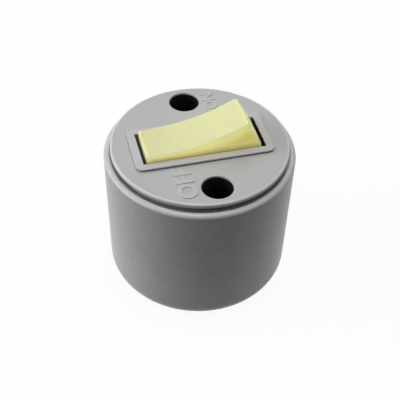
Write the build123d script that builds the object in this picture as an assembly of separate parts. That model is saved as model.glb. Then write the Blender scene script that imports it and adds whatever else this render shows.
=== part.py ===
from build123d import *
import os
from math import cos, radians, sin, tan

# Cup: the round moulded body that stands on the wall
body_d = 50.0
cup_h = 39.75
wall_t = 2.4
floor_t = 2.6
wall_draft = 0.45
base_round = 5.0
cove_round = 2.0
rim_lip = 1.55
rim_round = 0.95
rim_inner_round = 0.25
cable_hole_d = 14.0

# Screw path: opening in the cover, sleeve, boss on the cup floor
well_d = 8.0
sleeve_t = 0.7
sleeve_to_wall = 0.6
sleeve_fit = 0.08
well_lip = 0.6
well_round = 0.3
boss_h = 5.4
boss_t = 1.1
boss_recess = 1.5
screw_hole_d = 4.2

# Cover plate, with a groove above the rim where a blade can prise it off
plate_gap = 0.2
plate_step = 2.25
plate_t = 2.6
plate_round = 0.45
prise_h = 1.15
prise_d = 0.7

# Bezel frame: a flange on the cover round the rocker, with its foot in the cover's opening
bezel_border = 2.05
bezel_h = 0.8
bezel_corner = 1.8
bezel_round = 0.3
bezel_seat = 0.8
relief_d = 0.4
relief_h = 0.45
window_round = 0.2

# Snap hooks of the cover and their groove in the cup
hook_angles = (0, 50, 180, 230)
hook_arc = 15.0
hook_t = 1.2
hook_l = 6.0
hook_gap = 0.4
barb_d = 0.45
barb_h = 1.4
groove_gap = 0.12

# Rocker: dished top, sloping ends, hollow below
rocker_w = 11.4
rocker_l = 31.2
rocker_top_l = 26.6
rocker_rise = 7.5
dish_depth = 1.8
knee_rise = 1.5
skirt_drop = 0.6
rocker_round = 0.45
rocker_corner = 0.8
rocker_wall = 1.6
rocker_rib_t = 1.2
lobe_r = 2.2
throw = 13.3
pivot_depth = 3.7
trunnion_d = 2.6
trunnion_l = 1.5
pivot_fit = 0.05
rocker_side_gap = 0.3
rocker_end_gap = 0.45

# Plunger and its spring, carried in the rocker
plunger_d = 4.2
plunger_fit = 0.08
plunger_reach = 7.05
plunger_l = 6.9
tip_r = 1.2
tip_taper = 1.4
spigot_d = 2.0
spigot_l = 1.2
tube_t = 1.2
tube_drop = 2.7
roof_t = 2.1
wire_d = 0.45
spring_turns = 6

# Contact blade: a see-saw on the fork of the common terminal
blade_t = 0.8
blade_w = 6.0
blade_tail = 5.4
blade_tip = 1.8
blade_rise = 4.0
blade_throw = 7.0
blade_clear = 0.03
contact_inset = 4.1
contact_d = 3.0
contact_h = 0.8
contact_shank_d = 1.8
contact_clear = 0.03
ear_d = 1.2
ear_l = 1.5

# Insulating base that carries the mechanism below the cover
base_wall = 1.6
base_floor = 2.8
shelf_h = 2.2
post_w = 5.2
post_top_gap = 0.2
stop_w = 2.1
stop_l = 3.3
stop_gap = 0.05
guard_t = 0.8
guard_fit = 0.05
guard_inset = 0.45
lug_angle = 45.0
lug_to_wall = 1.4
lug_r = 2.8
lug_t = 3.0
pillar_l = 5.0

# Brass terminals and their fasteners
strap_t = 1.0
strap_w = 6.4
strap_bend = 1.0
strap_fit = 0.1
strap_end_gap = 0.85
tab_end = 3.0
fork_w = 4.0
fork_gap = 0.3
clamp_w = 6.0
clamp_t = 0.9
binding_x = 9.6
binding_d = 3.5
binding_head_d = 6.2
binding_head_h = 2.0
binding_end = 1.8
rivet_x = 4.5
rivet_d = 2.0
rivet_head_d = 3.0
rivet_head_h = 0.5
fixing_d = 2.2
fixing_head_d = 5.2
fixing_head_h = 1.7
fixing_grip = 4.2
slot_w = 0.9
hole_fit = 0.06

# Levels and radii that follow
body_r = body_d / 2
plate_top = cup_h + plate_step
under_z = plate_top - plate_t
seat_r = body_r - rim_lip
plate_r = seat_r - plate_gap
cavity_r = body_r - wall_t
sleeve_r = well_d / 2 + sleeve_t
well_y = cavity_r - sleeve_to_wall - sleeve_r
boss_top = floor_t + boss_h
pivot_z = plate_top - pivot_depth
window_l = rocker_l + 2 * rocker_end_gap
window_w = rocker_w + 2 * rocker_side_gap
bore_top = rocker_rise - roof_t
plunger_top = plunger_l - plunger_reach
contact_reach = rocker_l / 2 - contact_inset
blade_z = pivot_z - plunger_reach - blade_clear - blade_t / 2
closed_tilt = blade_throw - blade_rise
contact_drop = blade_t / 2 + contact_h
contact_x = contact_reach * cos(radians(closed_tilt)) - contact_drop * sin(radians(closed_tilt))
contact_fall = (contact_reach + contact_d / 2) * sin(radians(closed_tilt))
touch_z = blade_z - contact_fall - contact_drop * cos(radians(closed_tilt)) - contact_clear
platform_z = touch_z - contact_h
floor_z = platform_z - strap_t - shelf_h
base_z = floor_z - base_floor
leg_x = window_l / 2 - strap_end_gap - strap_t / 2
lug_z = under_z - pillar_l
lug_x = (cavity_r - lug_to_wall - lug_r) * cos(radians(lug_angle))
lug_y = (cavity_r - lug_to_wall - lug_r) * sin(radians(lug_angle))
fork_y = blade_w / 2 + fork_gap
stop_z = pivot_z - skirt_drop * cos(radians(throw)) - rocker_l / 2 * sin(radians(throw)) - stop_gap
guard_top = plate_top + bezel_h - guard_inset


def upright(radius, low, high, x=0.0, y=0.0):
    """A round bar along Z between two levels."""
    return Pos(x, y, low) * Cylinder(radius, high - low, align=(Align.CENTER, Align.CENTER, Align.MIN))


def block(x0, x1, y0, y1, z0, z1):
    """A box between two corners."""
    size = (x1 - x0, y1 - y0, z1 - z0)
    return Pos((x0 + x1) / 2, (y0 + y1) / 2, (z0 + z1) / 2) * Box(*size)


def turned(points, radii):
    """A ring turned about Z from its section in the XZ plane."""
    section = make_face(FilletPolyline(*points, radius=radii, close=True))
    return revolve(Plane.XZ * section, Axis.Z)


def bent_strap(points, width):
    """Strip bent along a path in the XZ plane, its width along Y."""
    path = Plane.XZ * FilletPolyline(*points, radius=strap_bend)
    start = Plane(path @ 0, x_dir=(0, 1, 0), z_dir=path % 0)
    return sweep(start * Rectangle(width, strap_t), path)


def slotted_screw(shank_r, shank_l, head_r, head_h):
    """A screw with its head downward and the head's upper face at Z = 0."""
    head = fillet(upright(head_r, -head_h, 0).edges().group_by(Axis.Z)[0], head_h * 0.35)
    slot = block(-head_r, head_r, -slot_w / 2, slot_w / 2, -head_h, -head_h * 0.5)
    shank = chamfer(upright(shank_r, 0, shank_l).edges().group_by(Axis.Z)[-1], shank_r * 0.3)
    return head - slot + shank


def at_rest(piece):
    """Put a piece built about the pivot into the rocker's resting tilt."""
    return Pos(0, 0, pivot_z) * Rot(0, -throw, 0) * piece


def blade_at_rest(piece):
    """Put a piece built about the blade's axis into its open tilt."""
    return Pos(0, 0, blade_z) * Rot(0, blade_throw, 0) * piece


def body_cup():
    barb_top = under_z - hook_l + barb_h
    groove_r = cavity_r + barb_d + groove_gap
    groove_low = under_z - hook_l - groove_gap
    points = [
        (0, 0),
        (body_r - wall_draft, 0),
        (body_r, cup_h),
        (seat_r, cup_h),
        (seat_r, under_z),
        (cavity_r, under_z),
        (cavity_r, barb_top + groove_gap),
        (groove_r, barb_top + groove_gap),
        (groove_r, groove_low),
        (cavity_r, groove_low - (groove_r - cavity_r)),
        (cavity_r, floor_t),
        (0, floor_t),
    ]
    radii = [0, base_round, rim_round, rim_inner_round, 0, 0, 0, 0, 0, 0, cove_round, 0]
    cup = turned(points, radii)
    for side in (-1, 1):
        cup += upright(sleeve_r + sleeve_fit + boss_t, floor_t / 2, boss_top, 0, side * well_y)
    for side in (-1, 1):
        cup -= upright(sleeve_r + sleeve_fit, boss_top - boss_recess, boss_top, 0, side * well_y)
        cup -= upright(screw_hole_d / 2, 0, boss_top, 0, side * well_y)
    return cup - upright(cable_hole_d / 2, 0, floor_t)


def snap_hook(angle):
    arm_r = cavity_r - hook_gap
    low = under_z - hook_l
    section = make_face(Polyline(
        (arm_r - hook_t, under_z),
        (arm_r, under_z),
        (arm_r, low + barb_h),
        (cavity_r + barb_d, low + barb_h),
        (cavity_r + barb_d, low + barb_h * 0.6),
        (arm_r, low),
        (arm_r - hook_t, low),
        close=True,
    ))
    hook = revolve(Plane.XZ * section, Axis.Z, revolution_arc=hook_arc)
    return Rot(0, 0, angle - hook_arc / 2) * hook


def bezel_outline(inset):
    """Outer edge of the bezel, moved in."""
    length = window_l + 2 * (bezel_border - inset)
    width = window_w + 2 * (bezel_border - inset)
    return RectangleRounded(length, width, bezel_corner - inset)


def post_pocket():
    """Room for the tops of the base's bearing posts."""
    x = post_w / 2 + hole_fit * 2
    y = window_w / 2 + base_wall + hole_fit * 2
    return block(-x, x, -y, y, under_z, pivot_z + trunnion_d / 2 + post_top_gap)


def cover_plate():
    disc = upright(plate_r, under_z, plate_top)
    disc = fillet(disc.edges().group_by(Axis.Z)[-1], plate_round)
    groove_top = cup_h + prise_h
    cover = disc - (upright(body_r, cup_h, groove_top) - upright(plate_r - prise_d, cup_h, groove_top))
    for angle in hook_angles:
        cover += snap_hook(angle)
    for side in (-1, 1):
        cover += upright(lug_r, lug_z, under_z, side * lug_x, -side * lug_y)
    cover -= extrude(Pos(0, 0, under_z) * bezel_outline(bezel_seat - hole_fit), plate_t)
    cover -= post_pocket()
    for side in (-1, 1):
        cover -= upright(well_d / 2, under_z, plate_top, 0, side * well_y)
        cover -= upright(sleeve_r + sleeve_fit, under_z, plate_top - well_lip, 0, side * well_y)
        pilot_top = lug_z + fixing_grip + 3 * hole_fit
        cover -= upright(fixing_d / 2 + hole_fit, lug_z, pilot_top, side * lug_x, -side * lug_y)
    lip_edges = cover.edges().filter_by(GeomType.CIRCLE).filter_by(lambda e: abs(e.radius - well_d / 2) < hole_fit)
    return fillet(lip_edges.group_by(Axis.Z)[-1], well_round)


def bezel_frame():
    foot = extrude(Pos(0, 0, under_z) * bezel_outline(bezel_seat), plate_t)
    flange = extrude(Pos(0, 0, plate_top) * bezel_outline(0), bezel_h)
    flange = fillet(flange.edges().group_by(Axis.Z)[-1], bezel_round)
    relief = extrude(Pos(0, 0, plate_top) * (bezel_outline(0) - bezel_outline(relief_d)), relief_h)
    half_l = window_l / 2
    half_w = window_w / 2
    frame = foot + flange - relief - post_pocket()
    frame -= block(-half_l, half_l, -half_w, half_w, under_z, plate_top + bezel_h)
    guard_x = half_l + guard_t + guard_fit
    guard_y = half_w + guard_fit
    frame -= block(-guard_x, guard_x, -guard_y, guard_y, under_z, guard_top + guard_fit)
    window = frame.faces().filter_by(Axis.Z).sort_by(Axis.Z)[-1].inner_wires()[0]
    return fillet(window.edges(), window_round)


def screw_sleeve(side):
    low = boss_top - boss_recess
    high = plate_top - well_lip - sleeve_fit
    tube = upright(sleeve_r, low, high) - upright(well_d / 2, low, high)
    return Pos(0, side * well_y, 0) * tube


def rocker_section(inset, drop):
    """Side view of the rocker with its walls moved in, down to a level below the pivot."""
    half = rocker_l / 2 - inset
    top_half = rocker_top_l / 2 - inset
    rise = rocker_rise - inset
    corner = rise + dish_depth
    dish = ThreePointArc((top_half, corner), (0, rise), (-top_half, corner))
    walls = Polyline(
        (-top_half, corner),
        (-half, knee_rise),
        (-half, -drop),
        (half, -drop),
        (half, knee_rise),
        (top_half, corner),
    )
    return make_face([dish, *walls.edges()])


def rocker():
    shell = extrude(Plane.XZ * rocker_section(0, skirt_drop), rocker_w / 2, both=True)
    upright_edges = shell.edges().filter_by(lambda e: abs(e.center().X * e.center().Y) > rocker_w)
    shell = fillet(upright_edges, rocker_corner)
    shell = fillet(shell.faces().sort_by(Axis.Z)[-1].edges(), rocker_round)
    inner_y = rocker_w / 2 - rocker_wall
    hollow = extrude(Plane.XZ * rocker_section(rocker_wall, skirt_drop), inner_y, both=True)
    half = rocker_wall / 2
    rib = extrude(Plane.XZ * rocker_section(half, 0), rocker_rib_t / 2, both=True)
    tube_r = plunger_d / 2 + plunger_fit + tube_t
    tube = upright(tube_r, -tube_drop, rocker_rise - half)
    bore = upright(plunger_d / 2 + plunger_fit, -tube_drop, bore_top)
    pin_l = rocker_w / 2 + trunnion_l
    pin = Rot(90, 0, 0) * (Cylinder(trunnion_d / 2, 2 * pin_l) + Cylinder(lobe_r, rocker_w))
    pin -= block(-lobe_r, lobe_r, -inner_y, inner_y, -lobe_r, lobe_r)
    return at_rest(shell - hollow + rib + tube + pin - bore)


def plunger():
    body_r = plunger_d / 2
    tip_z = -plunger_reach + tip_r
    body_z = tip_z + tip_taper
    outline = [
        Line((0, plunger_top + spigot_l), (spigot_d / 2, plunger_top + spigot_l)),
        Line((spigot_d / 2, plunger_top + spigot_l), (spigot_d / 2, plunger_top)),
        Line((spigot_d / 2, plunger_top), (body_r, plunger_top)),
        Line((body_r, plunger_top), (body_r, body_z)),
        Line((body_r, body_z), (tip_r, tip_z)),
        ThreePointArc((tip_r, tip_z), (tip_r * sin(radians(45)), tip_z - tip_r * cos(radians(45))), (0, -plunger_reach)),
        Line((0, -plunger_reach), (0, plunger_top + spigot_l)),
    ]
    return at_rest(revolve(Plane.XZ * make_face(outline), Axis.Z))


def plunger_spring():
    low = plunger_top + wire_d / 2
    length = bore_top - wire_d / 2 - low
    coil_r = (plunger_d - wire_d) / 2 - plunger_fit
    path = Pos(0, 0, low) * Helix(length / spring_turns, length, coil_r)
    wire = sweep(Plane(path @ 0, z_dir=path % 0) * Circle(wire_d / 2), path, is_frenet=True)
    return at_rest(wire)


def contact_blade():
    lift = tan(radians(blade_rise))
    reach = contact_reach + blade_tip
    half = blade_t / 2
    section = make_face(Polyline(
        (-reach, reach * lift + half),
        (0, half),
        (blade_tail, blade_tail * lift + half),
        (blade_tail, blade_tail * lift - half),
        (0, -half),
        (-reach, reach * lift - half),
        close=True,
    ))
    blade = extrude(Plane.XZ * section, blade_w / 2, both=True)
    ears = Rot(90, 0, 0) * Cylinder(ear_d / 2, blade_w + 2 * ear_l)
    ears -= block(-ear_d, ear_d, -blade_w / 2, blade_w / 2, -ear_d, ear_d)
    hole = blade_seat() * upright(contact_shank_d / 2 + hole_fit, -blade_t, blade_t)
    return blade_at_rest(blade + ears - hole)


def blade_seat():
    """Frame of the contact on the blade's long arm, its Z square to the blade."""
    return Rot(0, blade_rise, 0) * Pos(-contact_reach, 0, 0)


def blade_contact():
    half = blade_t / 2
    head = upright(contact_d / 2, -half - contact_h, -half)
    head = fillet(head.edges().group_by(Axis.Z)[0], contact_h * 0.3)
    shank = upright(contact_shank_d / 2, -half, half)
    upset = upright(contact_shank_d * 0.7, half, half + contact_h * 0.3)
    return blade_at_rest(blade_seat() * (head + shank + upset))


def common_terminal():
    strap_z = floor_z + strap_t / 2
    tab_z = base_z - strap_t / 2
    strap = bent_strap([(-fork_w / 2, strap_z), (leg_x, strap_z), (leg_x, tab_z), (tab_end, tab_z)], strap_w)
    outer = fork_y + strap_t
    strap += block(-fork_w / 2, fork_w / 2, -outer, outer, floor_z, floor_z + strap_t)
    for side in (-1, 1):
        inner_y, outer_y = sorted((side * fork_y, side * outer))
        strap += block(-fork_w / 2, fork_w / 2, inner_y, outer_y, floor_z, blade_z + ear_d)
    notch_r = ear_d / 2 + pivot_fit
    strap -= Pos(0, 0, blade_z) * Rot(90, 0, 0) * Cylinder(notch_r, 2 * outer)
    strap -= block(-notch_r, notch_r, -outer, outer, blade_z, blade_z + ear_d)
    strap -= upright(rivet_d / 2 + hole_fit, base_z - strap_t, floor_z + strap_t, rivet_x)
    return strap - upright(binding_d / 2 + hole_fit, base_z - strap_t, base_z, binding_x)


def load_terminal():
    strap_z = platform_z - strap_t / 2
    tab_z = base_z - strap_t / 2
    start = -contact_x + contact_d / 2 + strap_t
    strap = bent_strap([(start, strap_z), (-leg_x, strap_z), (-leg_x, tab_z), (-tab_end, tab_z)], strap_w)
    strap -= upright(contact_shank_d / 2 + hole_fit, platform_z - strap_t, platform_z, -contact_x)
    strap -= upright(rivet_d / 2 + hole_fit, base_z - strap_t, base_z, -rivet_x)
    return strap - upright(binding_d / 2 + hole_fit, base_z - strap_t, base_z, -binding_x)


def fixed_contact():
    head = upright(contact_d / 2, platform_z, touch_z, -contact_x)
    head = fillet(head.edges().group_by(Axis.Z)[-1], contact_h * 0.3)
    return head + upright(contact_shank_d / 2, platform_z - strap_t, platform_z, -contact_x)


def switch_base():
    half_l = window_l / 2
    half_w = window_w / 2
    outer_l = half_l + base_wall
    outer_w = half_w + base_wall
    base = block(-outer_l, outer_l, -outer_w, outer_w, base_z, under_z)
    post_z = pivot_z + trunnion_d / 2
    base += block(-post_w / 2, post_w / 2, -outer_w, outer_w, under_z, post_z)
    base -= block(-half_l, half_l, -half_w, half_w, floor_z, post_z)
    for x_side in (-1, 1):
        for y_side in (-1, 1):
            x0, x1 = sorted((x_side * half_l, x_side * (half_l - stop_l)))
            y0, y1 = sorted((y_side * half_w, y_side * (half_w - stop_w)))
            base += block(x0, x1, y0, y1, floor_z, stop_z)
    for side in (-1, 1):
        x0, x1 = sorted((side * half_l, side * (half_l + guard_t)))
        base += block(x0, x1, -half_w, half_w, under_z, guard_top)
    shelf_end = -contact_x + contact_d / 2 + strap_t
    shelf_start = -leg_x + strap_t / 2 + strap_bend
    shelf_y = strap_w / 2
    base += block(shelf_start, shelf_end, -shelf_y, shelf_y, floor_z, floor_z + shelf_h)
    base -= Pos(0, 0, pivot_z) * Rot(90, 0, 0) * Cylinder(trunnion_d / 2 + pivot_fit, 2 * outer_w)
    slot_x = trunnion_d / 2 + pivot_fit
    base -= block(-slot_x, slot_x, -outer_w, outer_w, pivot_z, post_z)
    for side in (-1, 1):
        x, y = side * lug_x, -side * lug_y
        y0, y1 = sorted((y, -side * outer_w))
        base += upright(lug_r, lug_z - lug_t, lug_z, x, y) + block(x - lug_r, x + lug_r, y0, y1, lug_z - lug_t, lug_z)
        base -= upright(fixing_d / 2 + 4 * hole_fit, lug_z - lug_t, lug_z, x, y)
        x0, x1 = sorted((side * (leg_x - strap_t / 2 - strap_bend), side * (leg_x + strap_t / 2 + strap_fit)))
        slot_y = strap_w / 2 + strap_fit
        base -= block(x0, x1, -slot_y, slot_y, base_z, floor_z)
        base -= upright(rivet_d / 2 + hole_fit, base_z, floor_z, side * rivet_x)
        base -= upright(binding_d / 2 + 4 * hole_fit, base_z, base_z + binding_end + 4 * hole_fit, side * binding_x)
    return base


def terminal_screw(side):
    grip = strap_t + clamp_t
    screw = slotted_screw(binding_d / 2, grip + binding_end, binding_head_d / 2, binding_head_h)
    return Pos(side * binding_x, 0, base_z - grip) * screw


def wire_clamp(side):
    half = clamp_w / 2
    low = base_z - strap_t - clamp_t
    plate = block(-half, half, -half, half, low, low + clamp_t)
    plate = fillet(plate.edges().filter_by(Axis.Z), clamp_t)
    plate -= upright(binding_d / 2 + 2 * hole_fit, low, low + clamp_t)
    return Pos(side * binding_x, 0, 0) * plate


def terminal_rivet(side, top):
    low = base_z - strap_t
    rivet = upright(rivet_d / 2, low, top)
    rivet += upright(rivet_head_d / 2, low - rivet_head_h, low) + upright(rivet_head_d / 2, top, top + rivet_head_h)
    return Pos(side * rivet_x, 0, 0) * rivet


def base_screw(side):
    screw = slotted_screw(fixing_d / 2, lug_t + fixing_grip, fixing_head_d / 2, fixing_head_h)
    return Pos(side * lug_x, -side * lug_y, lug_z - lug_t) * screw


nodes = {
    "body_cup": body_cup(),
    "cover_plate": cover_plate(),
    "bezel_frame": bezel_frame(),
    "rocker": rocker(),
    "screw_sleeve_front": screw_sleeve(-1),
    "screw_sleeve_rear": screw_sleeve(1),
    "switch_base": switch_base(),
    "plunger": plunger(),
    "plunger_spring": plunger_spring(),
    "contact_blade": contact_blade(),
    "blade_contact": blade_contact(),
    "common_terminal": common_terminal(),
    "load_terminal": load_terminal(),
    "fixed_contact": fixed_contact(),
    "terminal_rivet_common": terminal_rivet(1, floor_z + strap_t),
    "terminal_rivet_load": terminal_rivet(-1, floor_z),
}
for terminal, side in (("common", 1), ("load", -1)):
    nodes[f"terminal_screw_{terminal}"] = terminal_screw(side)
    nodes[f"wire_clamp_{terminal}"] = wire_clamp(side)
for place, side in (("front", 1), ("rear", -1)):
    nodes[f"base_screw_{place}"] = base_screw(side)

os.makedirs("parts", exist_ok=True)
for name, shape in nodes.items():
    export_step(shape, f"parts/{name}.step")
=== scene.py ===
import math

import bpy
from mathutils import Matrix, Vector


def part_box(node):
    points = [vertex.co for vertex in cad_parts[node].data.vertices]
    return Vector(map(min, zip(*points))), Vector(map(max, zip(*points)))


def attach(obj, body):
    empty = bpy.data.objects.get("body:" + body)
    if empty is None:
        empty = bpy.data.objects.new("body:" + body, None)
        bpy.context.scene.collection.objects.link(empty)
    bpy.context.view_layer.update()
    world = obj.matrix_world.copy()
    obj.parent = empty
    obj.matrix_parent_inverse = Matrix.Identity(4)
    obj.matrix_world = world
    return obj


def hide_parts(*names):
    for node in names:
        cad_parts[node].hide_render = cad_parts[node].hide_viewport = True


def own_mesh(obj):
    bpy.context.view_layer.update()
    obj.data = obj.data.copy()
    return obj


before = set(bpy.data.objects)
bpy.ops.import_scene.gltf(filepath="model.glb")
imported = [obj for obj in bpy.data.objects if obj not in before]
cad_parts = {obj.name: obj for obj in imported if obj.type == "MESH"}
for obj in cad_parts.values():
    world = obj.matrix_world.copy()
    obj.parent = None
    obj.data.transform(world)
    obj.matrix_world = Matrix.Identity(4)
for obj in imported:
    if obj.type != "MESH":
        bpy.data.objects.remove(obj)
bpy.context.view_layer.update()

# Body cup.
# The round wall box, one moulding in mid-grey plastic with a spark-eroded skin and a painted highlight
# along its rim.
# It stands on its flat base, and two screws through the floor hold it to the wall.


class Signal:
    """A value on its way through a node tree: sums on it add Math nodes, and node() adds any other kind."""

    def __init__(self, tree, socket=None):
        self.tree = tree
        self.socket = socket

    def node(self, kind, settings=None, inputs=None, output=0):
        made = self.tree.nodes.new(kind)
        for name, value in (settings or {}).items():
            setattr(made, name, value)
        for name, value in (inputs or {}).items():
            for item in value if isinstance(value, list) else [value]:
                if isinstance(item, Signal):
                    self.tree.links.new(item.socket, made.inputs[name])
                else:
                    made.inputs[name].default_value = item
        return Signal(self.tree, made.outputs[output] if made.outputs else None)

    def _sum(self, operation, first, second):
        return self.node("ShaderNodeMath", {"operation": operation}, {0: first, 1: second})

    def __add__(self, other):
        return self._sum("ADD", self, other)

    def __radd__(self, other):
        return self._sum("ADD", other, self)

    def __sub__(self, other):
        return self._sum("SUBTRACT", self, other)

    def __rsub__(self, other):
        return self._sum("SUBTRACT", other, self)

    def __mul__(self, other):
        return self._sum("MULTIPLY", self, other)

    def __truediv__(self, other):
        return self._sum("DIVIDE", self, other)


def begin_finish(name):
    """An empty material, with a signal to build on and the piece's own coordinates."""
    material = bpy.data.materials.new(name)
    material.use_nodes = True
    material.node_tree.nodes.clear()
    start = Signal(material.node_tree)
    place = start.node("ShaderNodeTexCoord", output="Object")
    return material, start, place


def end_finish(start, shader):
    """Let a shader signal be the material's surface."""
    start.node("ShaderNodeOutputMaterial", inputs={"Surface": shader})


def grain(start, place, size, detail=2.0):
    """Cloudy variation from 0 to 1 whose patches are about this many metres across."""
    return start.node("ShaderNodeTexNoise", inputs={"Vector": place, "Scale": 1 / size, "Detail": detail})


def blend_colour(start, amount, low, high):
    """Colour between two tones, led by a signal."""
    settings = {"data_type": "RGBA"}
    return start.node("ShaderNodeMix", settings, {0: amount, 6: (*low, 1), 7: (*high, 1)}, output=2)


def bump(start, height, strength, depth, facing=None):
    """Relief this many metres deep, on the surface's own normal or on a given one."""
    inputs = {"Height": height, "Strength": strength, "Distance": depth}
    if facing:
        inputs["Normal"] = facing
    return start.node("ShaderNodeBump", inputs=inputs)


def rising(start, value, low, high):
    """Smooth step from 0 to 1 between two values of a signal."""
    settings = {"interpolation_type": "SMOOTHSTEP"}
    limits = {"From Min": low, "From Max": high, "To Min": 0.0, "To Max": 1.0}
    return start.node("ShaderNodeMapRange", settings, {"Value": value, **limits})


def mix_colours(start, amount, first, second):
    """Colour between two colour signals, led by a third."""
    return start.node("ShaderNodeMix", {"data_type": "RGBA"}, {0: amount, 6: first, 7: second}, output=2)


BODY_LOW = (0.228, 0.239, 0.235)
BODY_HIGH = (0.530, 0.550, 0.543)
PIT_SHARE = 0.45
MOTTLE_SHARE = 0.35
FLOW_SHARE = 0.2
HIGHLIGHT_LEAST = 0.75
HIGHLIGHT_SPREAD = 0.5
BODY_ROUGH = 0.26
PIT_ROUGH = 0.16
PIT_HEIGHT = 0.7
MOTTLE_HEIGHT = 0.3
SKIN_RELIEF = 0.5
SKIN_DEPTH = 0.00003
RIM_HIGHLIGHT_TONE = (0.55, 0.555, 0.55)
RIM_FOOT = 0.0386
RIM_CREST = 0.0393
SPARK_PIT = 0.0003
FLOW_CLOUD = 0.009

grey_plastic, start, place = begin_finish("grey_plastic")
pits = grain(start, place, SPARK_PIT, detail=3.0)
mottle = grain(start, place, SPARK_PIT * 4)
flow = grain(start, place, FLOW_CLOUD, detail=1.0)
cloud = pits * PIT_SHARE + mottle * MOTTLE_SHARE + flow * FLOW_SHARE
skin = blend_colour(start, cloud, BODY_LOW, BODY_HIGH)
height = start.node("ShaderNodeSeparateXYZ", inputs={"Vector": place}, output="Z")
# Painted highlight: the rim's crest is painted lighter between these heights, broken up a little by the
# mottle.
painted_rim_highlight = rising(start, height, RIM_FOOT, RIM_CREST) * (HIGHLIGHT_LEAST + mottle * HIGHLIGHT_SPREAD)
end_finish(start, start.node("ShaderNodeBsdfPrincipled", inputs={
    "Base Color": mix_colours(start, painted_rim_highlight, skin, (*RIM_HIGHLIGHT_TONE, 1)),
    "Roughness": BODY_ROUGH + pits * PIT_ROUGH,
    "Normal": bump(start, pits * PIT_HEIGHT + mottle * MOTTLE_HEIGHT, SKIN_RELIEF, SKIN_DEPTH),
    "Specular IOR Level": 0.42,
}))

BASE_ROUND = 0.005
ROUND_CENTRE = 0.0196063
TOLERANCE = 0.00002


def seat_cup():
    """The cup's solid, with the bosses' edges pressed back where they break through the rounded base."""
    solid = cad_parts["body_cup"]
    mesh = solid.data.copy()
    mesh.transform(solid.matrix_world)
    for corner in mesh.vertices:
        below = max(BASE_ROUND - corner.co.z, 0)
        reach = ROUND_CENTRE + math.sqrt(max(BASE_ROUND ** 2 - below ** 2, 0))
        distance = math.hypot(corner.co.x, corner.co.y)
        if below and distance > reach + TOLERANCE:
            corner.co.x *= reach / distance
            corner.co.y *= reach / distance
    mesh.materials.clear()
    mesh.materials.append(grey_plastic)
    cup = bpy.data.objects.new("body_cup_moulded", mesh)
    bpy.context.scene.collection.objects.link(cup)
    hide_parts("body_cup")
    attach(cup, "housing")


seat_cup()

# Screw sleeves.
# Two black insulating tubes that stand on the floor bosses and meet the cover's openings.
# They keep the mounting screws and the screwdriver away from the live parts.


def dress(node, material):
    """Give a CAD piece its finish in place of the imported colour."""
    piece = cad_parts[node]
    for slot in piece.material_slots:
        slot.material = material


def mottled_finish(name, low, high, patch, detail, rough, spread, relief=0.0, depth=0.0, constants=None):
    """A finish of two tones whose patches, this many metres across, also lead its roughness and relief."""
    material, start, place = begin_finish(name)
    mottle = grain(start, place, patch, detail)
    inputs = {
        "Base Color": blend_colour(start, mottle, low, high),
        "Roughness": rough + mottle * spread,
        **(constants or {}),
    }
    if relief:
        inputs["Normal"] = bump(start, mottle, relief, depth)
    end_finish(start, start.node("ShaderNodeBsdfPrincipled", inputs=inputs))
    return material


black_plastic = mottled_finish(
    "black_plastic", low=(0.003, 0.003, 0.003), high=(0.008, 0.008, 0.008), patch=0.00035, detail=4.0,
    rough=0.5, spread=0.2, relief=0.25, depth=0.00003, constants={"Specular IOR Level": 0.25},
)
dress("screw_sleeve_front", black_plastic)
dress("screw_sleeve_rear", black_plastic)

# Switch base.
# The black insulating box under the cover that carries contacts and rocker, moulded in one piece.
# Two lugs take the screws that draw it up against the cover.

dress("switch_base", black_plastic)

# Terminals.
# Two straps stamped from brass strip and bent round the floor of the base, one with the blade's fork.
# A rivet through the floor stops each from sliding out.

BRASS_LOW = (0.62, 0.43, 0.17)
BRASS_HIGH = (0.78, 0.60, 0.29)
BRASS_ROUGH = 0.2
TARNISH_ROUGH = 0.2
TARNISH_PATCH = 0.003
ROLL_STRETCH = (60, 900, 900)
ROLL_PATCH = 0.4
ROLL_RELIEF = 0.1
ROLL_DEPTH = 0.00002


def rolling_marks(start, place):
    """Fine streaks along X, as the rolling mill leaves them in strip."""
    rolled = start.node("ShaderNodeMapping", inputs={"Vector": place, "Scale": ROLL_STRETCH})
    return grain(start, rolled, ROLL_PATCH, detail=3.0)


brass, start, place = begin_finish("brass")
streaks = rolling_marks(start, place)
tarnish = grain(start, place, TARNISH_PATCH, detail=3.0)
end_finish(start, start.node("ShaderNodeBsdfPrincipled", inputs={
    "Base Color": blend_colour(start, streaks * 0.5 + tarnish * 0.5, BRASS_LOW, BRASS_HIGH),
    "Metallic": 1.0,
    "Roughness": BRASS_ROUGH + tarnish * TARNISH_ROUGH,
    "Normal": bump(start, streaks, ROLL_RELIEF, ROLL_DEPTH),
}))
for node in ("common_terminal", "load_terminal", "terminal_rivet_common", "terminal_rivet_load"):
    dress(node, brass)

# Contacts.
# Silver-faced rivets, one on the blade and one on the load terminal, headed over cold.
# They meet when the rocker is pressed at its other end.

silver = mottled_finish(
    "silver", low=(0.72, 0.70, 0.66), high=(0.90, 0.89, 0.86), patch=0.0012, detail=3.0,
    rough=0.16, spread=0.18, constants={"Metallic": 1.0},
)
dress("fixed_contact", silver)
dress("blade_contact", silver)

# Contact blade.
# A see-saw strip of phosphor bronze with two rolled ears, which rock in the fork's notches.
# The plunger pushes it over from one side to the other.

BRONZE_LOW = (0.56, 0.31, 0.16)
BRONZE_HIGH = (0.72, 0.45, 0.27)
BRONZE_ROUGH = 0.22
STREAK_ROUGH = 0.15

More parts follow.
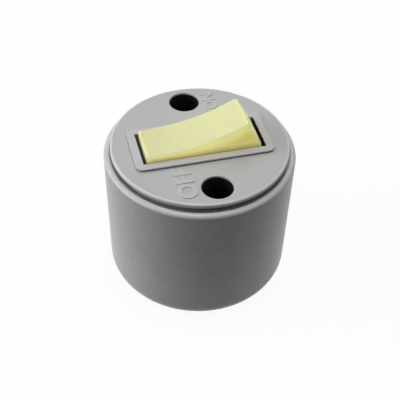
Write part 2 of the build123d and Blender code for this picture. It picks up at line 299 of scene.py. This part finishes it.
bronze, start, place = begin_finish("phosphor_bronze")
streaks = rolling_marks(start, place)
end_finish(start, start.node("ShaderNodeBsdfPrincipled", inputs={
    "Base Color": blend_colour(start, streaks, BRONZE_LOW, BRONZE_HIGH),
    "Metallic": 1.0,
    "Roughness": BRONZE_ROUGH + streaks * STREAK_ROUGH,
    "Normal": bump(start, streaks, ROLL_RELIEF, ROLL_DEPTH),
}))
dress("contact_blade", bronze)

# Wire clamps and binding screws.
# Square steel plates under the terminals, and the slotted screws that draw them up on the wires.
# Both are zinc plated, and the thread is rolled.

plated_steel = mottled_finish(
    "plated_steel", low=(0.50, 0.51, 0.52), high=(0.68, 0.68, 0.67), patch=0.0008, detail=4.0,
    rough=0.24, spread=0.2, relief=0.08, depth=0.00002, constants={"Metallic": 1.0},
)
dress("wire_clamp_common", plated_steel)
dress("wire_clamp_load", plated_steel)

CREASE = math.radians(35)


def grow(name, material, sizes, shape):
    """A plain mesh from a Geometry Nodes tree that has these named sizes; shape() builds its geometry."""
    tree = bpy.data.node_groups.new(name, "GeometryNodeTree")
    tree.interface.new_socket("Geometry", in_out="OUTPUT", socket_type="NodeSocketGeometry")
    sockets = {}
    for label in sizes:
        sockets[label] = tree.interface.new_socket(label, in_out="INPUT", socket_type="NodeSocketFloat")
    start = Signal(tree)
    given = {label: start.node("NodeGroupInput", output=label) for label in sizes}
    solid = start.node("GeometryNodeRealizeInstances", inputs={0: shape(start, given)})
    solid = start.node("GeometryNodeSetMaterial", inputs={"Geometry": solid, "Material": material})
    start.node("NodeGroupOutput", inputs={0: solid})
    piece = bpy.data.objects.new(name, bpy.data.meshes.new(name))
    bpy.context.scene.collection.objects.link(piece)
    modifier = piece.modifiers.new(name, "NODES")
    modifier.node_group = tree
    for label, value in sizes.items():
        modifier[sockets[label].identifier] = value
    grown = bpy.data.meshes.new_from_object(piece.evaluated_get(bpy.context.evaluated_depsgraph_get()))
    piece.modifiers.clear()
    piece.data = grown
    grown.shade_smooth()
    grown.set_sharp_from_angle(angle=CREASE)
    return piece


def lifted(start, geometry, height):
    """Geometry moved up by a height."""
    offset = start.node("ShaderNodeCombineXYZ", inputs={"Z": height})
    return start.node("GeometryNodeTransform", inputs={"Geometry": geometry, "Translation": offset})


RIM_SHARE = 0.65
WELD = 0.000005


def slotted_screw(start, size):
    """A screw that points up from its slotted head, with the head's upper face at height 0."""
    depth = size["Pitch"] * 0.5
    core_r = size["Shank radius"] - depth
    thread_l = size["Shank length"] - depth * 2
    ring = start.node("GeometryNodeCurvePrimitiveCircle", inputs={"Resolution": 4, "Radius": depth})
    coil = start.node("GeometryNodeCurveSpiral", inputs={
        "Resolution": 28,
        "Rotations": thread_l / size["Pitch"],
        "Start Radius": core_r,
        "End Radius": core_r,
        "Height": thread_l,
    })
    coil = start.node("GeometryNodeSetCurveNormal", {"mode": "Z_UP"}, {"Curve": coil})
    ridge = start.node("GeometryNodeCurveToMesh", inputs={
        "Curve": coil, "Profile Curve": ring, "Fill Caps": True,
    })
    core = start.node("GeometryNodeMeshCylinder", inputs={
        "Vertices": 32, "Radius": core_r, "Depth": size["Shank length"],
    })
    rim_h = size["Head height"] * RIM_SHARE
    rim = start.node("GeometryNodeMeshCylinder", inputs={
        "Vertices": 48, "Radius": size["Head radius"], "Depth": rim_h,
    })
    crown_h = size["Head height"] - rim_h
    crown = start.node("GeometryNodeMeshCone", inputs={
        "Vertices": 48,
        "Radius Top": size["Head radius"],
        "Radius Bottom": size["Head radius"] - crown_h,
        "Depth": crown_h,
    })
    slot_size = start.node("ShaderNodeCombineXYZ", inputs={
        "X": size["Head radius"] * 3, "Y": size["Slot width"], "Z": size["Head height"],
    })
    slot = start.node("GeometryNodeMeshCube", inputs={"Size": slot_size})
    head = start.node("GeometryNodeMeshBoolean", {"operation": "UNION"}, {
        "Mesh": [lifted(start, rim, rim_h * -0.5), lifted(start, crown, size["Head height"] * -1)],
    })
    head = start.node("GeometryNodeMeshBoolean", {"operation": "DIFFERENCE"}, {
        "Mesh 1": head, "Mesh 2": lifted(start, slot, size["Head height"] * -1),
    })
    head = start.node("GeometryNodeMergeByDistance", inputs={"Geometry": head, "Distance": WELD})
    return start.node("GeometryNodeJoinGeometry", inputs={
        "Geometry": [head, lifted(start, core, size["Shank length"] * 0.5), lifted(start, ridge, depth)],
    })


def seat_screw(node, shank_r, head_h, pitch, slot_w):
    """Put a threaded screw where the plain CAD one is."""
    low, high = (Vector(corner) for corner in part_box(node))
    screw = grow(node + "_threaded", plated_steel, {
        "Shank radius": shank_r,
        "Shank length": high.z - low.z - head_h,
        "Head radius": (high.x - low.x) / 2,
        "Head height": head_h,
        "Pitch": pitch,
        "Slot width": slot_w,
    }, slotted_screw)
    seat = Vector(((low.x + high.x) / 2, (low.y + high.y) / 2, low.z + head_h))
    screw.data.transform(Matrix.Translation(seat))
    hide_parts(node)
    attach(screw, "housing")


for terminal in ("common", "load"):
    seat_screw("terminal_screw_" + terminal, shank_r=0.00175, head_h=0.002, pitch=0.0006, slot_w=0.0009)

# Base screws.
# Two smaller slotted screws of the same plated steel, turned into the cover's pillars from below.
# They draw the switch base up against the cover.

for side in ("front", "rear"):
    seat_screw("base_screw_" + side, shank_r=0.0011, head_h=0.0017, pitch=0.00045, slot_w=0.0009)

# Plunger.
# A turned pin of white nylon with a round nose, which slides in the tube under the rocker.
# Its spring keeps the nose on the blade.

white_nylon = mottled_finish(
    "white_nylon", low=(0.66, 0.65, 0.60), high=(0.76, 0.75, 0.70), patch=0.0015, detail=2.0,
    rough=0.32, spread=0.12, relief=0.08, depth=0.00003,
)
dress("plunger", white_nylon)

# Plunger spring.
# A coil of drawn steel wire with closed end turns, between the rocker's roof and the plunger's shoulder.
# It lies along the plunger, which the resting rocker tilts.

spring_steel = mottled_finish(
    "spring_steel", low=(0.42, 0.42, 0.43), high=(0.60, 0.60, 0.61), patch=0.0004, detail=3.0,
    rough=0.22, spread=0.16, constants={"Metallic": 1.0},
)

SPRING_TURNS = 7.5
WIRE_D = 0.00045
COIL_R = 0.001795
COIL_LOW = 0.000075
COIL_HIGH = 0.005175
ROCKER_TILT = math.radians(13.3)
PIVOT = Vector((0, 0, 0.0383))


def closed_coil(start, size):
    """A round-wire coil along Z from height 0, whose first and last turns lie close."""
    coil = start.node("GeometryNodeCurveSpiral", inputs={
        "Resolution": 40,
        "Rotations": size["Turns"],
        "Start Radius": size["Coil radius"],
        "End Radius": size["Coil radius"],
        "Height": 0.0,
    })
    turn = start.node("GeometryNodeSplineParameter", output="Factor") * size["Turns"]
    open_part = start.node("ShaderNodeMapRange", inputs={
        "Value": turn, "From Min": 1.0, "From Max": size["Turns"] - 1.0, "To Min": 0.0, "To Max": 1.0,
    })
    closed = size["Wire"] * turn
    height = closed + open_part * (size["Height"] - size["Wire"] * size["Turns"])
    offset = start.node("ShaderNodeCombineXYZ", inputs={"Z": height})
    coil = start.node("GeometryNodeSetPosition", inputs={"Geometry": coil, "Offset": offset})
    wire = start.node("GeometryNodeCurvePrimitiveCircle", inputs={
        "Resolution": 12, "Radius": size["Wire"] / 2,
    })
    return start.node("GeometryNodeCurveToMesh", inputs={
        "Curve": coil, "Profile Curve": wire, "Fill Caps": True,
    })


spring = grow("plunger_spring_coil", spring_steel, {
    "Turns": SPRING_TURNS, "Wire": WIRE_D, "Coil radius": COIL_R, "Height": COIL_HIGH - COIL_LOW,
}, closed_coil)
lean = Matrix.Rotation(-ROCKER_TILT, 4, "Y")
spring.data.transform(Matrix.Translation(PIVOT) @ lean @ Matrix.Translation((0, 0, COIL_LOW)))
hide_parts("plunger_spring")
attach(spring, "rocker_body")
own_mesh(spring)

# Rocker.
# One moulding in pale, translucent yellow plastic with a dished top, whose walls glow a deeper yellow: a
# painted glow and a lighter painted tone stand in for light carried through the plastic.
# Its trunnions lie in the base's bearing posts, and the cover keeps them down.

YELLOW_LOW = (0.725, 0.725, 0.38)
YELLOW_HIGH = (0.765, 0.765, 0.43)
SIDE_PAINTED_LIGHT_LOW = (0.95, 0.885, 0.47)
SIDE_PAINTED_LIGHT_HIGH = (0.98, 0.92, 0.51)
RIDGE_PAINTED_GLOW = (0.24, 0.21, 0.05)
UPPER_PAINTED_GLOW = (0.58, 0.54, 0.20)
DEEP_PAINTED_GLOW = (0.34, 0.28, 0.05)
FOOT_SHADE_GLOW = (0.06, 0.04, 0.0)
FOOT_SHADE_LOW = 0.0419
FOOT_SHADE_HIGH = 0.0449
RIDGE_REACH = 0.0009
GLOW_REACH = 0.0040
SIDE_FROM = 0.00535
SIDE_FULL = 0.00568
END_FROM = 0.0152
END_FULL = 0.0155
END_SLOPE = 0.295
END_PAINTED_GLOW = (0.30, 0.30, 0.14)
KNEE_RISE = 0.0015
DISH_RISE = 0.0075
DISH_DEPTH = 0.0018
DISH_HALF = 0.0133
LOW_LIP = 0.0444
CLEAR_LIP = 0.0456
EDGE_SOFTNESS = 0.0008
PIGMENT_PATCH = 0.0006
PIGMENT_SHARE = 0.6
SWIRL_PATCH = 0.006
SWIRL_SHARE = 0.4
YELLOW_ROUGH = 0.48
PIGMENT_ROUGH = 0.12
PIGMENT_RELIEF = 0.12
PIGMENT_DEPTH = 0.00003

yellow_plastic, start, place = begin_finish("yellow_plastic")
pigment = grain(start, place, PIGMENT_PATCH, detail=3.0)
swirl = grain(start, place, SWIRL_PATCH, detail=1.0)
cloud = pigment * PIGMENT_SHARE + swirl * SWIRL_SHARE
level = start.node("ShaderNodeMapping", {"vector_type": "TEXTURE"}, {
    "Vector": place, "Location": PIVOT, "Rotation": (0, -ROCKER_TILT, 0),
})
outward = start.node("ShaderNodeVectorMath", {"operation": "ABSOLUTE"}, {0: level})
off_end = start.node("ShaderNodeSeparateXYZ", inputs={"Vector": outward}, output="X")
off_side = start.node("ShaderNodeSeparateXYZ", inputs={"Vector": outward}, output="Y")
height = start.node("ShaderNodeSeparateXYZ", inputs={"Vector": level}, output="Z")
# Painted glow on the side walls stands in for light carried through the plastic: strongest just under the
# dished top, less with depth, and least by the bezel, where painted shade takes it down.
# The raised end has a painted glow of its own, which stops where the low end goes under the cover.
along = off_end / DISH_HALF
drop = DISH_RISE + along * along * DISH_DEPTH - height
depth = rising(start, drop, 0.0, GLOW_REACH)
side_wall = rising(start, off_side, SIDE_FROM, SIDE_FULL)
end_wall = rising(start, off_end + (height - KNEE_RISE) * END_SLOPE, END_FROM, END_FULL)
above_cover = start.node("ShaderNodeSeparateXYZ", inputs={"Vector": place}, output="Z")
end_glow_mask = end_wall * rising(start, above_cover, LOW_LIP, CLEAR_LIP)
face_tone = blend_colour(start, cloud, YELLOW_LOW, YELLOW_HIGH)
# Painted light: the side walls get a lighter, deeper yellow than the top, standing in for light carried
# through the plastic.
side_painted_light_tone = blend_colour(start, cloud, SIDE_PAINTED_LIGHT_LOW, SIDE_PAINTED_LIGHT_HIGH)
painted_glow = blend_colour(start, depth, UPPER_PAINTED_GLOW, DEEP_PAINTED_GLOW)
painted_glow = mix_colours(start, rising(start, drop, 0.0, RIDGE_REACH), (*RIDGE_PAINTED_GLOW, 1), painted_glow)
# Painted shade: near the bezel the glow falls to a dim value, where shade falls between bezel and rocker.
lift = rising(start, above_cover, FOOT_SHADE_LOW, FOOT_SHADE_HIGH)
painted_glow = mix_colours(start, lift, (*FOOT_SHADE_GLOW, 1), painted_glow)
side_painted_glow = mix_colours(start, side_wall, (0, 0, 0, 1), painted_glow)
soft_edge = start.node("ShaderNodeBevel", {"samples": 8}, {"Radius": EDGE_SOFTNESS})
end_finish(start, start.node("ShaderNodeBsdfPrincipled", inputs={
    "Base Color": mix_colours(start, side_wall * depth, face_tone, side_painted_light_tone),
    "Roughness": YELLOW_ROUGH + pigment * PIGMENT_ROUGH,
    "Specular IOR Level": 0.32,
    "Normal": bump(start, pigment, PIGMENT_RELIEF, PIGMENT_DEPTH, soft_edge),
    "Subsurface Weight": 1.0,
    "Subsurface Radius": (1.0, 0.85, 0.25),
    "Subsurface Scale": 0.0012,
    # Painted glow: the emission stands in for light carried through the plastic, not for a lamp.
    "Emission Color": mix_colours(start, end_glow_mask, side_painted_glow, (*END_PAINTED_GLOW, 1)),
    "Emission Strength": 1.0,
}))
dress("rocker", yellow_plastic)

# Cover plate.
# The grey disc that snaps into the cup's rim, with a groove round its edge where a blade can prise it off.
# It is moulded in a smoother grey plastic, with shallow raised words for the two positions.

GREY_LOW = (0.420, 0.421, 0.422)
GREY_HIGH = (0.472, 0.473, 0.472)
RAISED_HIGHLIGHT_LOW = (0.460, 0.461, 0.462)
RAISED_HIGHLIGHT_HIGH = (0.515, 0.516, 0.515)
EDGE_HIGHLIGHT_TONE = (0.65, 0.65, 0.65)
EDGE_FROM = 0.0225
EDGE_FULL = 0.0230
EDGE_LOW = 0.0411
EDGE_HIGH = 0.0415
GROOVE_SHADE_TONE = (0.21, 0.21, 0.21)
GROOVE_FROM = 0.0223
GROOVE_FULL = 0.02245
GROOVE_LOW = 0.0405
GROOVE_HIGH = 0.0408
GROOVE_SHADE_LEAST = 0.7
GROOVE_SHADE_SPREAD = 0.4
HAZE_PATCH = 0.0005
GREY_ROUGH = 0.36
HAZE_ROUGH = 0.14
HAZE_RELIEF = 0.12
HAZE_DEPTH = 0.00002


def smooth_finish(name, low, high):
    """Smooth moulded grey, with a painted highlight at the cover's edge and painted shade in its groove."""
    material, start, place = begin_finish(name)
    haze = grain(start, place, HAZE_PATCH, detail=3.0)
    flow = grain(start, place, FLOW_CLOUD, detail=1.0)
    face = blend_colour(start, haze * 0.5 + flow * 0.5, low, high)
    on_plan = start.node("ShaderNodeVectorMath", {"operation": "MULTIPLY"}, {0: place, 1: (1, 1, 0)})
    radius = start.node("ShaderNodeVectorMath", {"operation": "LENGTH"}, {0: on_plan}, output="Value")
    height = start.node("ShaderNodeSeparateXYZ", inputs={"Vector": place}, output="Z")
    # Painted highlight on the cover's rounded top edge.
    edge_highlight_mask = rising(start, radius, EDGE_FROM, EDGE_FULL) * rising(start, height, EDGE_LOW, EDGE_HIGH)
    face_with_edge_highlight = mix_colours(start, edge_highlight_mask * (HIGHLIGHT_LEAST + haze * HIGHLIGHT_SPREAD), face, (*EDGE_HIGHLIGHT_TONE, 1))
    # Painted shade in the prise groove, below the cover's edge.
    low_down = 1 - rising(start, height, GROOVE_LOW, GROOVE_HIGH)
    groove_shade_mask = rising(start, radius, GROOVE_FROM, GROOVE_FULL) * low_down
    end_finish(start, start.node("ShaderNodeBsdfPrincipled", inputs={
        "Base Color": mix_colours(
            start, groove_shade_mask * (GROOVE_SHADE_LEAST + haze * GROOVE_SHADE_SPREAD), face_with_edge_highlight, (*GROOVE_SHADE_TONE, 1),
        ),
        "Roughness": GREY_ROUGH + haze * HAZE_ROUGH,
        "Normal": bump(start, haze, HAZE_RELIEF, HAZE_DEPTH),
        "Specular IOR Level": 0.36,
    }))
    return material


smooth_grey = smooth_finish("smooth_grey_plastic", GREY_LOW, GREY_HIGH)
# The raised words and the bezel get a lighter copy of the cover's grey: a painted highlight, as on raised
# edges that catch the light.
painted_highlight_grey = smooth_finish("painted_highlight_grey_plastic", RAISED_HIGHLIGHT_LOW, RAISED_HIGHLIGHT_HIGH)
dress("cover_plate", smooth_grey)

MARK_RELIEF = 0.0002
CHAMFER_SHARE = 0.25
STROKE_GROWTH = 0.035
CAP_SHARE = 0.69
PLATE_TOP = 0.042


def raised_word(name, word, cap_height, x, y):
    """A word that stands out of the cover, read along +Y."""
    letters = bpy.data.curves.new(name, "FONT")
    letters.body = word
    letters.size = cap_height / CAP_SHARE
    letters.offset = cap_height * STROKE_GROWTH
    letters.extrude = MARK_RELIEF * (1 - CHAMFER_SHARE)
    letters.bevel_depth = MARK_RELIEF * CHAMFER_SHARE
    letters.bevel_resolution = 1
    letters.align_x = "CENTER"
    letters.align_y = "CENTER"
    holder = bpy.data.objects.new(name + "_letters", letters)
    bpy.context.scene.collection.objects.link(holder)
    mesh = bpy.data.meshes.new_from_object(holder.evaluated_get(bpy.context.evaluated_depsgraph_get()))
    bpy.data.objects.remove(holder)
    mesh.transform(Matrix.Translation((x, y, PLATE_TOP)) @ Matrix.Rotation(math.pi / 2, 4, "Z"))
    mesh.materials.clear()
    mesh.materials.append(painted_highlight_grey)
    piece = bpy.data.objects.new(name, mesh)
    bpy.context.scene.collection.objects.link(piece)
    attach(piece, "housing")


raised_word("off_word", "OFF", cap_height=0.0044, x=-0.0072, y=-0.0142)
raised_word("on_word", "ON", cap_height=0.0032, x=0.0068, y=0.0162)

# Bezel frame.
# The narrow grey flange round the rocker, a moulding of its own with its foot in the cover's opening.
# A relief under its edge leaves a dark line where it lies on the cover.

# Its lighter grey is a painted highlight.
dress("bezel_frame", painted_highlight_grey)

# Studio.
# A plain pale floor, four soft lamps and a camera where the photograph was taken.
# Floor and room look white to the camera, and give little light back to the part, except for a painted pool
# of light on the floor close round it.

CAMERA_TURN = math.radians(-15.6)
EYE_LIFT = math.radians(40.456)
EYE_REACH = 0.21994
AXIS_TURN = math.radians(-15.7575)
AXIS_LIFT = math.radians(44.35)
CAMERA_ROLL = math.radians(1.7836)
LENS = 76.5
SENSOR = 36
NEAREST = 0.01
PLATE_CENTRE = Vector((0, 0, PLATE_TOP))


def heading(turn, lift):
    """Unit vector from the object towards a place at this turn and lift."""
    flat = math.cos(lift)
    return Vector((math.sin(turn) * flat, -math.cos(turn) * flat, math.sin(lift)))


back = heading(AXIS_TURN, AXIS_LIFT)
right = Vector((0, 0, 1)).cross(back).normalized()
up = back.cross(right)
tilt = Matrix.Rotation(CAMERA_ROLL, 3, back)
right = tilt @ right
up = tilt @ up
eye = PLATE_CENTRE + EYE_REACH * heading(CAMERA_TURN, EYE_LIFT)
camera_data = bpy.data.cameras.new("camera")
camera_data.lens = LENS
camera_data.sensor_width = SENSOR
camera_data.clip_start = NEAREST
camera = bpy.data.objects.new("camera", camera_data)
camera.matrix_world = Matrix((
    (right.x, up.x, back.x, eye.x),
    (right.y, up.y, back.y, eye.y),
    (right.z, up.z, back.z, eye.z),
    (0, 0, 0, 1),
))
bpy.context.scene.collection.objects.link(camera)
bpy.context.scene.camera = camera

LAMP_AIM = Vector((0, 0, 0.03))


def softbox(name, turn, lift, reach, width, height, power):
    """A rectangular lamp at this turn from the camera, in degrees as its lift is, that faces the body."""
    lamp = bpy.data.lights.new(name, "AREA")
    lamp.shape = "RECTANGLE"
    lamp.size = width
    lamp.size_y = height
    lamp.energy = power
    stand = bpy.data.objects.new(name, lamp)
    direction = heading(CAMERA_TURN + math.radians(turn), math.radians(lift))
    stand.location = LAMP_AIM + reach * direction
    stand.rotation_euler = direction.to_track_quat("Z", "Y").to_euler()
    bpy.context.scene.collection.objects.link(stand)


softbox("overhead", turn=0, lift=89.9, reach=0.7, width=0.25, height=0.25, power=2.24)
softbox("left_side", turn=-88, lift=15, reach=0.5, width=0.5, height=0.5, power=2.68)
softbox("behind", turn=180, lift=45, reach=0.6, width=0.5, height=0.3, power=0.57)
softbox("right_side", turn=75, lift=50, reach=0.6, width=0.3, height=0.3, power=0.49)

WHITE = (1, 1, 1, 1)
PAPER = (0.9, 0.9, 0.9, 1)
PAPER_GLOW = 0.94
LIGHT_POOL_TONE = (0.32, 0.32, 0.32, 1)
POOL_EDGE = 0.05
POOL_END = 0.12
DARK_TONE = (0.01, 0.01, 0.01, 1)
FLOOR_REACH = 3.0
FLOOR_DROP = -0.00005


def shown_to_camera(start):
    """Signal that is 1 for rays from the camera, mirrored or passed through, and 0 for bounced light."""
    seen = start.node("ShaderNodeLightPath", output="Is Camera Ray")
    mirrored = start.node("ShaderNodeLightPath", output="Is Glossy Ray")
    through = start.node("ShaderNodeLightPath", output="Is Transmission Ray")
    return start.node("ShaderNodeMath", {"operation": "MAXIMUM"}, {0: seen, 1: mirrored + through})


floor_finish, start, place = begin_finish("floor")
paper = start.node("ShaderNodeBsdfDiffuse", inputs={"Color": PAPER})
lit = start.node("ShaderNodeEmission", inputs={"Color": WHITE, "Strength": 1.0})
bright = start.node("ShaderNodeMixShader", inputs={0: PAPER_GLOW, 1: paper, 2: lit})
dark = start.node("ShaderNodeBsdfDiffuse", inputs={"Color": DARK_TONE})
# Painted pool of light: close round the part the floor gives back more light, further out almost none.
painted_light_pool = start.node("ShaderNodeBsdfDiffuse", inputs={"Color": LIGHT_POOL_TONE})
away = start.node("ShaderNodeVectorMath", {"operation": "LENGTH"}, {0: place}, output="Value")
outside = rising(start, away, POOL_EDGE, POOL_END)
dull = start.node("ShaderNodeMixShader", inputs={0: outside, 1: painted_light_pool, 2: dark})
shown = shown_to_camera(start)
end_finish(start, start.node("ShaderNodeMixShader", inputs={0: shown, 1: dull, 2: bright}))
floor_mesh = bpy.data.meshes.new("floor")
corners = [
    (x * FLOOR_REACH, y * FLOOR_REACH, FLOOR_DROP)
    for x, y in ((-1, -1), (1, -1), (1, 1), (-1, 1))
]
floor_mesh.from_pydata(corners, [], [(0, 1, 2, 3)])
floor_mesh.materials.append(floor_finish)
floor = bpy.data.objects.new("floor", floor_mesh)
bpy.context.scene.collection.objects.link(floor)

world = bpy.data.worlds.new("studio")
world.use_nodes = True
world.node_tree.nodes.clear()
start = Signal(world.node_tree)
room = start.node("ShaderNodeBackground", inputs={"Color": WHITE, "Strength": 0.0})
backdrop = start.node("ShaderNodeBackground", inputs={"Color": WHITE, "Strength": 1.0})
shown = shown_to_camera(start)
mixed = start.node("ShaderNodeMixShader", inputs={0: shown, 1: room, 2: backdrop})
start.node("ShaderNodeOutputWorld", inputs={"Surface": mixed})
bpy.context.scene.world = world
bpy.context.scene.view_settings.view_transform = "Standard"
